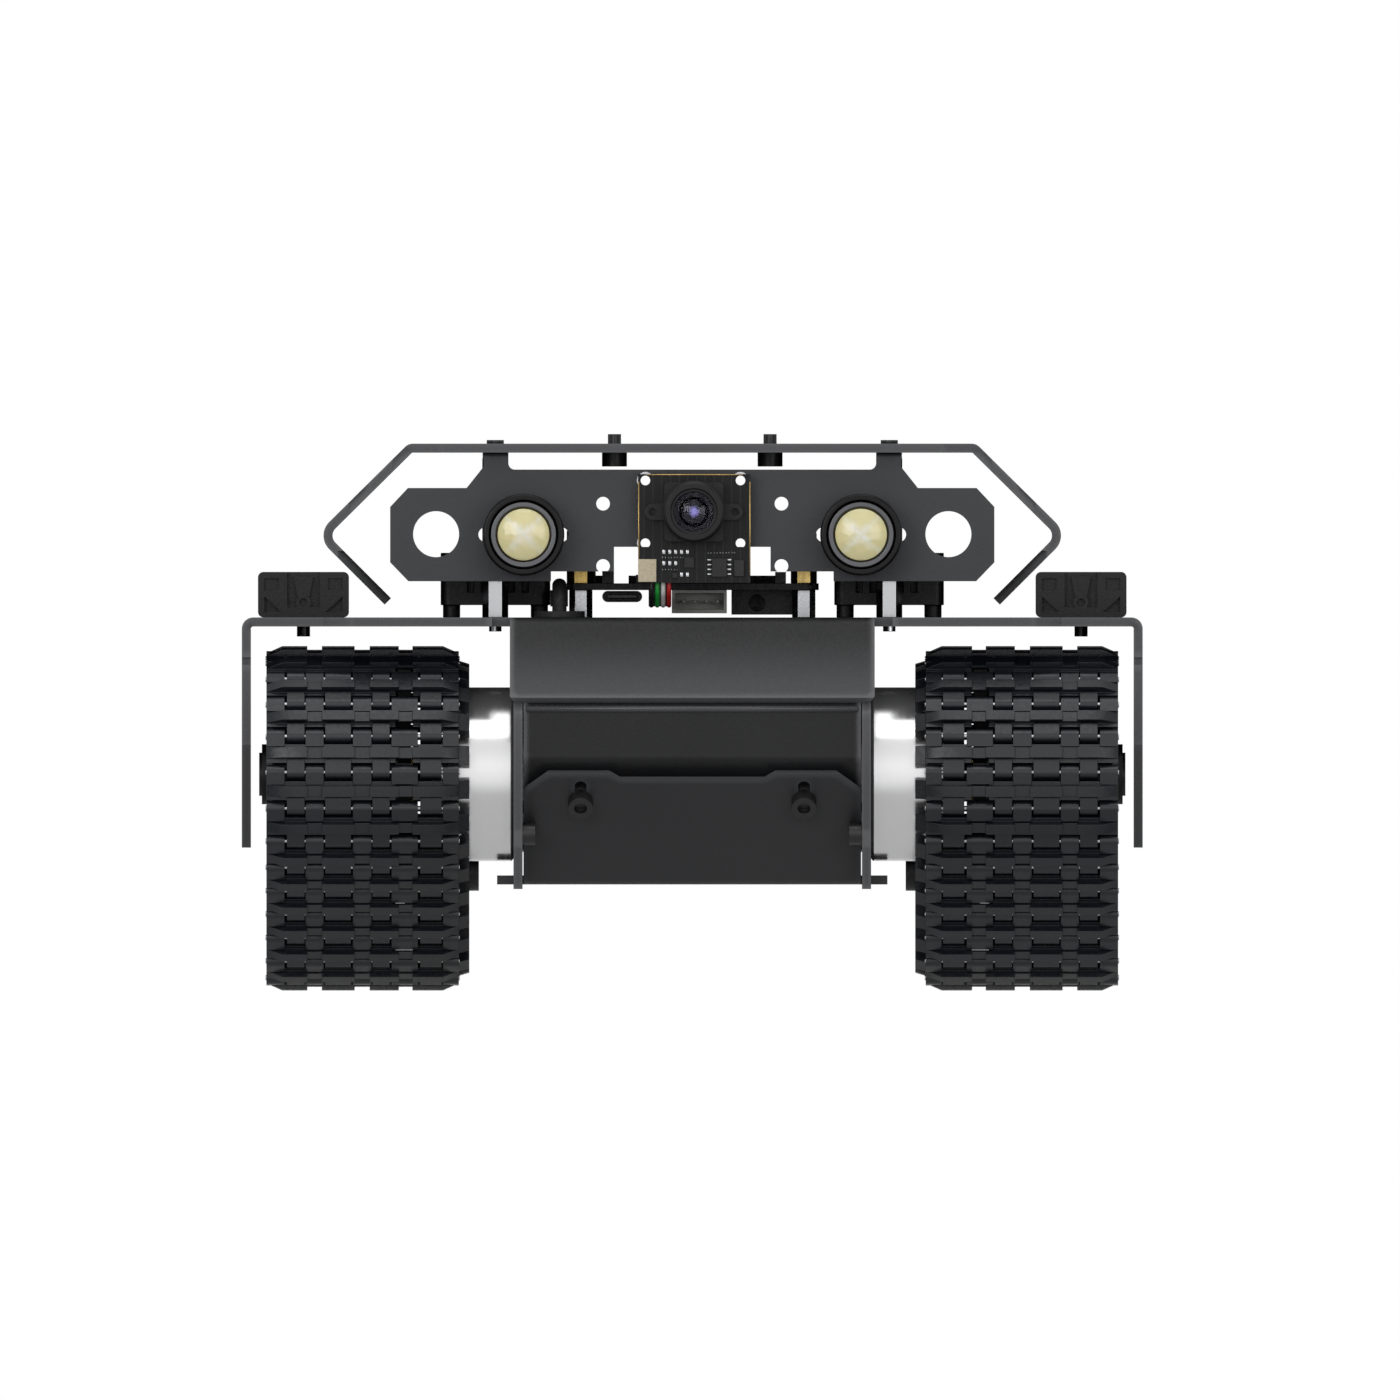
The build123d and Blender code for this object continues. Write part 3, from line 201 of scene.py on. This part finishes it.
def finish(name, dark, light, rough, grain, depth, metallic=0.0, stretch=(1, 1, 1), specular=0.5,
           coat=0.0, edge=None, slopes=False):
    """A moulded, coated or machined finish: colour and roughness that vary, and a fine grain.

    rough is a (low, high) pair, grain the grain's scale in cycles per metre, depth its height in metres, edge
    the paler colour of cut edges, partly wear and partly a painted highlight, and slopes turns on the painted
    light down the deck's slopes."""
    material, tree, shader = new_material(name)
    place = object_place(tree, stretch)
    broad = noise(tree, place, BLOTCHES)
    fine = noise(tree, place, grain, GRAIN_DETAIL)
    colour = ramp(tree, broad, dark, light)
    # painted light: the deck's slopes paler towards their bottom
    if slopes:
        colour = painted_slope_light(tree, colour)
    # paler cut edges: partly wear, partly a painted highlight
    if edge:
        colour = pale_edges_wear_and_highlight(tree, colour, edge)
    tree.links.new(colour, shader.inputs["Base Color"])
    tree.links.new(spread(tree, fine, *rough), shader.inputs["Roughness"])
    shader.inputs["Metallic"].default_value = metallic
    shader.inputs["Specular IOR Level"].default_value = specular
    shader.inputs["Coat Weight"].default_value = coat
    bump(tree, shader, fine, GRAIN_STRENGTH, depth)
    return material


def lens_material(centre):
    """Cream lamp lens with a painted cross-shaped highlight: paler along two diagonals through the lamp's
    middle, and cream towards its rim.
    """
    painted_cross_highlight_rate, wobble_size, rim_share = 200.0, 3.6 * MM, 0.35  # the rate is per metre
    material, tree, shader = new_material("lamp_lens")
    place, axes = split_place(tree)
    across = calculate(tree, "SUBTRACT", calculate(tree, "ABSOLUTE", axes["X"]), centre.x)
    up = calculate(tree, "SUBTRACT", axes["Z"], centre.z)
    # painted highlight: a pale cross along the diagonals, its edges broken by noise
    diagonals = [calculate(tree, "ABSOLUTE", calculate(tree, way, across, up)) for way in ("ADD", "SUBTRACT")]
    wobble = calculate(tree, "MULTIPLY", noise(tree, place, 520.0), wobble_size)
    painted_cross_highlight = calculate(tree, "ADD", calculate(tree, "MINIMUM", *diagonals), wobble)
    rim = calculate(tree, "MULTIPLY", distance(tree, across, up), rim_share)
    share = calculate(tree, "MULTIPLY", calculate(tree, "ADD", painted_cross_highlight, rim), painted_cross_highlight_rate)
    colour = ramp(tree, share, (0.97, 0.95, 0.84), (0.86, 0.78, 0.42), 0.28, 0.98)
    tree.links.new(colour, shader.inputs["Base Color"])
    shader.inputs["Roughness"].default_value = 0.16
    shader.inputs["Coat Weight"].default_value = 0.6
    shader.inputs["Subsurface Weight"].default_value = 0.15
    shader.inputs["Subsurface Scale"].default_value = 2 * MM
    cells = tree.nodes.new("ShaderNodeTexVoronoi")
    cells.inputs["Scale"].default_value = 620.0
    tree.links.new(place, cells.inputs["Vector"])
    bump(tree, shader, cells.outputs["Distance"], 0.35, 0.3 * MM)
    return material


def wire_material(low, high):
    """Insulation in four colours, one for each wire, told apart by their place across the row."""
    colours = ((0.02, 0.02, 0.02), (0.02, 0.42, 0.06), (0.8, 0.8, 0.78), (0.6, 0.02, 0.02))
    material, tree, shader = new_material("wire_colours")
    place, axes = split_place(tree)
    share = calculate(tree, "DIVIDE", calculate(tree, "SUBTRACT", axes["X"], low), high - low)
    stops = [(number / len(colours), colour) for number, colour in enumerate(colours)]
    tree.links.new(stepped_ramp(tree, share, stops, "CONSTANT"), shader.inputs["Base Color"])
    fine = noise(tree, place, 2600.0)
    tree.links.new(spread(tree, fine, 0.32, 0.5), shader.inputs["Roughness"])
    return material


def board_material():
    """Black solder mask over faint copper tracks."""
    material, tree, shader = new_material("circuit_board")
    place = object_place(tree)
    bricks = tree.nodes.new("ShaderNodeTexBrick")
    bricks.inputs["Scale"].default_value = 260.0
    bricks.inputs["Mortar Size"].default_value = 0.03
    bricks.inputs["Color1"].default_value = (0.003, 0.0035, 0.004, 1)
    bricks.inputs["Color2"].default_value = (0.006, 0.0065, 0.007, 1)
    bricks.inputs["Mortar"].default_value = (0.022, 0.022, 0.02, 1)
    tree.links.new(place, bricks.inputs["Vector"])
    tree.links.new(bricks.outputs["Color"], shader.inputs["Base Color"])
    fine = noise(tree, place, 900.0)
    tree.links.new(spread(tree, fine, 0.28, 0.42), shader.inputs["Roughness"])
    shader.inputs["Specular IOR Level"].default_value = 0.25
    bump(tree, shader, bricks.outputs["Fac"], 0.25, 0.04 * MM)
    return material


def glass_material():
    """Front element of the camera lens; its low index keeps the element behind it, with its painted glint, in
    view.
    """
    material, tree, shader = new_material("coated_glass")
    place, _ = split_place(tree)
    colour = ramp(tree, noise(tree, place, 160.0), (0.78, 0.78, 0.86), (0.86, 0.84, 0.92))
    tree.links.new(colour, shader.inputs["Base Color"])
    shader.inputs["Roughness"].default_value = 0.02
    shader.inputs["Transmission Weight"].default_value = 1.0
    shader.inputs["IOR"].default_value = 1.14
    return material


def painted_glint_material(centre):
    """Painted violet-blue glint on the dark inner element, brightest at its middle."""
    fade_rate = 300.0  # per metre from the middle
    material, tree, shader = new_material("lens_painted_glint")
    place, axes = split_place(tree)
    across = calculate(tree, "SUBTRACT", axes["X"], centre.x)
    up = calculate(tree, "SUBTRACT", axes["Z"], centre.z)
    share = calculate(tree, "MULTIPLY", distance(tree, across, up), fade_rate)
    patches = calculate(tree, "MULTIPLY_ADD", noise(tree, place, 900.0), 0.5, -0.25)
    share = calculate(tree, "ADD", share, patches)
    # painted glint: violet-blue at the middle, near black further out
    colour = ramp(tree, share, (0.5, 0.45, 1.0), (0.002, 0.002, 0.004), 0.12, 0.4)
    tree.links.new(colour, shader.inputs["Base Color"])
    shader.inputs["Roughness"].default_value = 0.4
    shader.inputs["Specular IOR Level"].default_value = 0.1
    shader.inputs["Coat Weight"].default_value = 1.0
    return material


def camera_parts_material():
    """Silver plating on the camera board's small parts, with one can of cream plastic at the left."""
    material, tree, shader = new_material("camera_parts")
    place, axes = split_place(tree)
    left = calculate(tree, "LESS_THAN", axes["X"], CAN_RIGHT)
    low = calculate(tree, "LESS_THAN", axes["Z"], CAN_TOP)
    can = calculate(tree, "MULTIPLY", left, low)
    fine = noise(tree, place, 1500.0)
    silver = ramp(tree, fine, (0.55, 0.56, 0.58), (0.7, 0.71, 0.73))
    cream = ramp(tree, fine, (0.56, 0.48, 0.32), (0.66, 0.58, 0.42))
    tree.links.new(mixed(tree, can, silver, cream), shader.inputs["Base Color"])
    tree.links.new(calculate(tree, "SUBTRACT", 1.0, can), shader.inputs["Metallic"])
    tree.links.new(spread(tree, fine, 0.24, 0.4), shader.inputs["Roughness"])
    return material


def make_materials():
    """One finished material for each kind of surface."""
    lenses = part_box("headlight_lenses")
    lamp = Vector((LAMP_X, 0, (lenses[0].z + lenses[1].z) / 2))
    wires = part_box("camera_wires")
    coat = ((0.009, 0.0094, 0.0105), (0.013, 0.0135, 0.015), (0.36, 0.48), 1500.0, 0.06 * MM)
    return {
        # edge colours: paler cut edges, partly wear and partly a painted highlight
        "deck": finish("deck_coat", *coat, specular=0.3, edge=(0.13, 0.132, 0.138), slopes=True),
        "sheet": finish("powder_coat", *coat, specular=0.3, edge=(0.15, 0.152, 0.158)),
        # painted light: a lighter copy of the black sheet coat for the camera panel and bottom pan, where
        # those faces look brighter
        "panel": finish("panel_painted_lighter_coat", (0.03, 0.0305, 0.033), (0.036, 0.0365, 0.039), (0.4, 0.52), 1500.0,
                        0.06 * MM, specular=0.3, edge=(0.06, 0.062, 0.068)),
        "anodised": finish("black_anodised", (0.008, 0.008, 0.009), (0.012, 0.012, 0.013), (0.28, 0.42),
                           2200.0, 0.03 * MM, stretch=(1, 0.06, 1), specular=0.3),
        "bright": finish("glossy_anodised", (0.5, 0.505, 0.52), (0.6, 0.605, 0.62), (0.1, 0.16), 2200.0,
                         0.02 * MM, metallic=1.0, stretch=(1, 1, 0.05)),
        "steel": finish("black_oxide", (0.012, 0.012, 0.013), (0.02, 0.02, 0.021), (0.26, 0.42), 1800.0,
                        0.03 * MM),
        "polished": finish("polished_steel", (0.84, 0.84, 0.85), (0.92, 0.92, 0.93), (0.14, 0.24), 900.0,
                           0.008 * MM, metallic=0.85, stretch=(1, 0.02, 0.02)),
        "zinc": finish("zinc_plate", (0.52, 0.53, 0.55), (0.66, 0.67, 0.69), (0.2, 0.3), 1600.0, 0.002 * MM,
                       metallic=1.0),
        "brass": finish("turned_brass", (0.62, 0.43, 0.14), (0.78, 0.58, 0.24), (0.2, 0.34), 1500.0,
                        0.03 * MM, metallic=1.0, stretch=(1, 1, 0.1)),
        "track": finish("track_plastic", (0.006, 0.0072, 0.0105), (0.0095, 0.0115, 0.0165), (0.28, 0.42),
                        1100.0, 0.06 * MM, specular=0.6),
        "wheel": finish("wheel_plastic", (0.007, 0.007, 0.008), (0.012, 0.012, 0.014), (0.38, 0.54), 1300.0,
                        0.08 * MM, specular=0.35),
        "plastic": finish("black_plastic", (0.005, 0.005, 0.006), (0.009, 0.009, 0.01), (0.34, 0.5), 1700.0,
                          0.07 * MM, specular=0.35),
        "lamp": finish("lamp_housing", (0.003, 0.003, 0.0035), (0.006, 0.006, 0.0065), (0.2, 0.32), 1900.0,
                       0.02 * MM, specular=0.25),
        "ring": finish("lamp_ring", (0.1, 0.102, 0.11), (0.15, 0.152, 0.16), (0.24, 0.38), 1400.0,
                       0.02 * MM, metallic=1.0, stretch=(1, 0.1, 1)),
        "chip": finish("chip_epoxy", (0.006, 0.006, 0.007), (0.012, 0.012, 0.013), (0.42, 0.58), 2600.0,
                       0.04 * MM),
        "wafer": finish("wafer_plastic", (0.32, 0.32, 0.3), (0.42, 0.42, 0.39), (0.4, 0.55), 1500.0,
                        0.04 * MM),
        "cell": finish("cell_wrap", (0.02, 0.11, 0.3), (0.03, 0.15, 0.38), (0.2, 0.32), 700.0, 0.06 * MM,
                       coat=0.3),
        "rubber": finish("sleeve_rubber", (0.012, 0.012, 0.012), (0.02, 0.02, 0.02), (0.5, 0.7), 1600.0,
                         0.08 * MM),
        "gold": finish("edge_plating", (0.4, 0.27, 0.1), (0.52, 0.36, 0.14), (0.25, 0.4), 1500.0, 0.02 * MM,
                       metallic=1.0),
        # paler than the sheet coat: painted highlight along the end plates' bend
        "hem": finish("hem_painted_bend_highlight", (0.05, 0.051, 0.055), (0.07, 0.071, 0.075), (0.24, 0.34), 1500.0,
                      0.02 * MM),
        "camera_parts": camera_parts_material(),
        "board": board_material(),
        "lens": lens_material(lamp),
        "glass": glass_material(),
        "wires": wire_material(wires[0].x, wires[1].x),
        "floor": finish("floor", (0.93, 0.93, 0.93), (0.95, 0.95, 0.95), (0.6, 0.7), 60.0, 0.1 * MM),
    }


FINISH_OF = {
    "deck": ("deck_plate",),
    "sheet": ("hull_sides", "hull_end_plates", "roof_plate", "side_frames"),
    "panel": ("camera_panel", "hull_bottom_pan"),
    "anodised": ("rails", "frame_spacers", "camera_lens_barrel"),
    "bright": ("roof_standoffs",),
    "camera_parts": ("camera_metal_parts",),
    "steel": ("screws", "wheel_axles", "board_sockets"),
    "polished": ("gearboxes",),
    "zinc": ("motors", "track_pins_left", "track_pins_right", "board_standoffs", "charging_socket"),
    "brass": ("board_risers", "drive_shaft_left", "drive_shaft_right"),
    "track": ("track_left", "track_right"),
    "plastic": ("rail_end_caps", "camera_lens_mount", "board_parts", "speaker_boxes", "battery_holder",
                "power_switch_body", "power_switch_rocker"),
    "lamp": ("headlight_bodies",),
    "ring": ("headlight_rings",),
    "lens": ("headlight_lenses",),
    "chip": ("camera_chips",),
    "wafer": ("wafer_socket",),
    "cell": ("battery_cells",),
    "rubber": ("motor_lead",),
    "board": ("camera_board", "driver_board"),
    "glass": ("camera_lens",),
    "wires": ("camera_wires",),
}
# Bevel widths in mm
BEVELS = {"track": 0.12, "sheet": 0.22, "deck": 0.22, "panel": 0.2, "anodised": 0.2, "polished": 0.3,
          "plastic": 0.2, "lamp": 0.2, "wheel": 0.25}
SMALL_BEVEL = 0.1
FLAT_ANGLE = math.radians(0.6)  # facets closer than this are one face
CORNER_ANGLE = math.radians(32)  # sharper edges than this are bevelled


def dress(node, material, bevel):
    """Gives a CAD node its material and softens its edges with modifiers."""
    node.data.materials.clear()
    node.data.materials.append(material)
    node.data.polygons.foreach_set("use_smooth", [True] * len(node.data.polygons))
    weld = node.modifiers.new("weld", "WELD")
    weld.merge_threshold = 0.002 * MM
    flat = node.modifiers.new("merge_flats", "DECIMATE")
    flat.decimate_type = "DISSOLVE"
    flat.angle_limit = FLAT_ANGLE
    soften = node.modifiers.new("soften", "BEVEL")
    soften.width = bevel * MM
    soften.segments = 2
    soften.limit_method = "ANGLE"
    soften.angle_limit = CORNER_ANGLE
    soften.use_clamp_overlap = True
    normals = node.modifiers.new("normals", "WEIGHTED_NORMAL")
    normals.mode = "FACE_AREA"
    normals.weight = 60


def dress_all(materials):
    """Dresses every CAD node; wheels, idlers, sprockets and bogies go by their names."""
    chosen = {name: kind for kind, names in FINISH_OF.items() for name in names}
    for name, node in NODES.items():
        kind = chosen.get(name)
        if kind is None:
            kind = "anodised" if name.startswith("bogie") else "wheel"
        dress(node, materials[kind], BEVELS.get(kind, SMALL_BEVEL))


# Pieces made here

def mesh_piece(name, build, material, body="root"):
    """Mesh object filled by build(bmesh), with a material, riding on a body."""
    mesh = bpy.data.meshes.new(name)
    shape = bmesh.new()
    build(shape)
    shape.normal_update()
    shape.to_mesh(mesh)
    shape.free()
    piece = bpy.data.objects.new(name, mesh)
    SCENE.collection.objects.link(piece)
    mesh.materials.append(material)
    mesh.polygons.foreach_set("use_smooth", [True] * len(mesh.polygons))
    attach(piece, body)


def ring(shape, centre, across, radius, steps):
    """Circle of vertices in the plane of a direction and Z."""
    turns = [2 * math.pi * step / steps for step in range(steps)]
    up = Vector((0, 0, 1))
    return [shape.verts.new(centre + radius * (math.cos(turn) * across + math.sin(turn) * up))
            for turn in turns]


def skin(shape, rings, steps):
    """Faces between each ring and the next; a ring of one vertex is a tip."""
    for here, after in zip(rings, rings[1:]):
        for step in range(steps):
            around = (step + 1) % steps
            quad = [here[step % len(here)], here[around % len(here)],
                    after[around % len(after)], after[step % len(after)]]
            shape.faces.new(list(dict.fromkeys(quad)))


def cube(shape, middle, size):
    """Box of a size about its middle."""
    place = Matrix.Translation(middle) @ Matrix.Diagonal((*size, 1))
    bmesh.ops.create_cube(shape, size=1.0, matrix=place)


def round_edges(shape, width, segments=1):
    """Bevels every edge."""
    bmesh.ops.bevel(shape, geom=shape.edges[:], offset=width, segments=segments, affect="EDGES")


def inner_lens():
    """Dome deep in the camera lens, with a short rim and a flat back, carrying the painted glint."""
    low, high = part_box("camera_lens")
    centre = (low + high) / 2
    front = high.y + 0.2 * MM
    radius, dome, back = 3.1 * MM, 0.9 * MM, front + 1.5 * MM
    dome_steps, around = 8, 64
    profile = [(front, 0)]
    for step in range(1, dome_steps + 1):
        share = step / dome_steps
        profile.append((front + dome * share * share, radius * share))
    profile += [(back, radius), (back, 0)]

    def build(shape):
        rings = []
        for y, reach in profile:
            middle = Vector((centre.x, y, centre.z))
            if reach:
                rings.append(ring(shape, middle, Vector((1, 0, 0)), reach, around))
            else:
                rings.append([shape.verts.new(middle)])
        skin(shape, rings, around)
        bmesh.ops.recalc_face_normals(shape, faces=shape.faces)
    mesh_piece("inner_lens", build, painted_glint_material(centre))


def hem(material):
    """Rolled lip under the deck's front and rear slopes, where they meet the hull's end plates; its material
    is paler than the sheet, a painted highlight along the bend.
    """
    low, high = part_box("hull_end_plates")
    half, taper, tip = high.x - 0.6 * MM, 0.2 * MM, 0.7
    steps = 12
    stations = ((-half, tip), (-half + taper, 1.0), (half - taper, 1.0), (half, tip))

    def build(shape):
        for depth in (low.y, high.y):
            rings = [ring(shape, Vector((x, depth, HEM_HEIGHT)), Vector((0, 1, 0)), HEM_RADIUS * share, steps)
                     for x, share in stations]
            skin(shape, rings, steps)
            shape.faces.new(rings[0])
            shape.faces.new(rings[-1])
        bmesh.ops.recalc_face_normals(shape, faces=shape.faces)
    mesh_piece("end_plate_hems", build, material)


def board_edges(material):
    """Gold plating along the camera board's sides and top, short of its corners."""
    low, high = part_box("camera_board")
    band, thick, corners = 0.26 * MM, 0.08 * MM, 3.4 * MM
    middle = (low + high) / 2

    def build(shape):
        for x in (low.x + band / 2, high.x - band / 2):
            cube(shape, Vector((x, low.y, middle.z)), (band, thick, high.z - low.z - corners))
        cube(shape, Vector((middle.x, low.y, high.z - band / 2)), (high.x - low.x - corners, thick, band))
        round_edges(shape, 0.02 * MM)
    mesh_piece("board_edge_plating", build, material)


def surface_parts(body, plated):
    """Rows of tiny resistors and capacitors on the camera board, each with two plated ends."""
    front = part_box("camera_board")[0].y
    spots = [Vector(((start + step * RESISTOR_STEP) * MM, front, height * MM))
             for height, start, count in RESISTOR_ROWS for step in range(count)]

    def bodies(shape):
        for spot in spots:
            cube(shape, spot + Vector((0.4, -0.17, 0.25)) * MM, Vector((0.44, 0.34, 0.42)) * MM)
        round_edges(shape, 0.03 * MM)

    def ends(shape):
        for spot in spots:
            for along in (0.11, 0.69):
                cube(shape, spot + Vector((along, -0.18, 0.25)) * MM, Vector((0.2, 0.4, 0.5)) * MM)
        round_edges(shape, 0.04 * MM, 2)
    mesh_piece("surface_part_bodies", bodies, body)
    mesh_piece("surface_part_ends", ends, plated)


# Stage

def floor(material):
    """Large pale round floor that neither mirrors in the object nor lights it from below."""
    mesh = bpy.data.meshes.new("floor")
    shape = bmesh.new()
    bmesh.ops.create_circle(shape, cap_ends=True, radius=12.0, segments=96)
    shape.to_mesh(mesh)
    shape.free()
    plane = bpy.data.objects.new("floor", mesh)
    SCENE.collection.objects.link(plane)
    mesh.materials.append(material)
    plane.visible_glossy = False
    plane.visible_diffuse = False


def area_light(name, place, target, size, power):
    """Soft square light aimed at a point."""
    light = bpy.data.lights.new(name, "AREA")
    light.size = size
    light.energy = power
    lamp = bpy.data.objects.new(name, light)
    lamp.location = place
    lamp.rotation_euler = (Vector(target) - Vector(place)).to_track_quat("-Z", "Y").to_euler()
    SCENE.collection.objects.link(lamp)


def surroundings():
    """World that looks white, and lights the object from four soft walls level with it, less from above."""
    levels = ((0.25, 0.5), (0.45, 0.92), (0.58, 1.0), (0.8, 0.85), (1.0, 0.6))  # from straight below to above
    wall_edge, corner_middle, corner_level = 0.18, 0.46, 0.25
    world = bpy.data.worlds.new("studio")
    SCENE.world = world
    world.use_nodes = True
    tree = world.node_tree
    _, axes = split_place(tree, "Generated")
    height = calculate(tree, "MULTIPLY_ADD", axes["Z"], 0.5, 0.5)
    band = stepped_ramp(tree, height, [(place, (level,) * 3) for place, level in levels], "EASE")
    corner = calculate(tree, "MINIMUM", *[calculate(tree, "ABSOLUTE", axes[name]) for name in "XY"])
    walls = spread(tree, corner, 1.0, corner_level, wall_edge, corner_middle, smooth=True)
    light = calculate(tree, "MULTIPLY", band, walls)
    seen = tree.nodes.new("ShaderNodeLightPath")
    strength = calculate(tree, "MAXIMUM", seen.outputs["Is Camera Ray"], light)
    background = tree.nodes["Background"]
    background.inputs["Color"].default_value = (1, 1, 1, 1)
    tree.links.new(strength, background.inputs["Strength"])


def lighting():
    """White surroundings with a soft light above and two at the front."""
    surroundings()
    area_light("overhead", (0, -0.6, 1.4), (0, 0, 0.1), 1.0, 4.0)
    area_light("front_left", (-0.8, -1.8, 0.5), (0, 0, 0.07), 0.8, 6.0)
    area_light("front_right", (0.9, -1.7, 0.3), (0, 0, 0.07), 0.8, 4.0)


def camera():
    """Straight at the front without perspective, level with the middle of the view."""
    width, away = 0.3077, 1.5
    aim = Vector((0.0017, 0, 0.06385))
    data = bpy.data.cameras.new("camera")
    data.type = "ORTHO"
    data.ortho_scale = width
    data.clip_end = 10.0
    eye = bpy.data.objects.new("camera", data)
    eye.location = aim + Vector((0, -away, 0))
    eye.rotation_euler = (math.pi / 2, 0, 0)
    SCENE.collection.objects.link(eye)
    SCENE.camera = eye


SCENE.view_settings.view_transform = "Standard"
materials = make_materials()
dress_all(materials)
inner_lens()
hem(materials["hem"])
board_edges(materials["gold"])
surface_parts(materials["chip"], materials["zinc"])
floor(materials["floor"])
lighting()
camera()
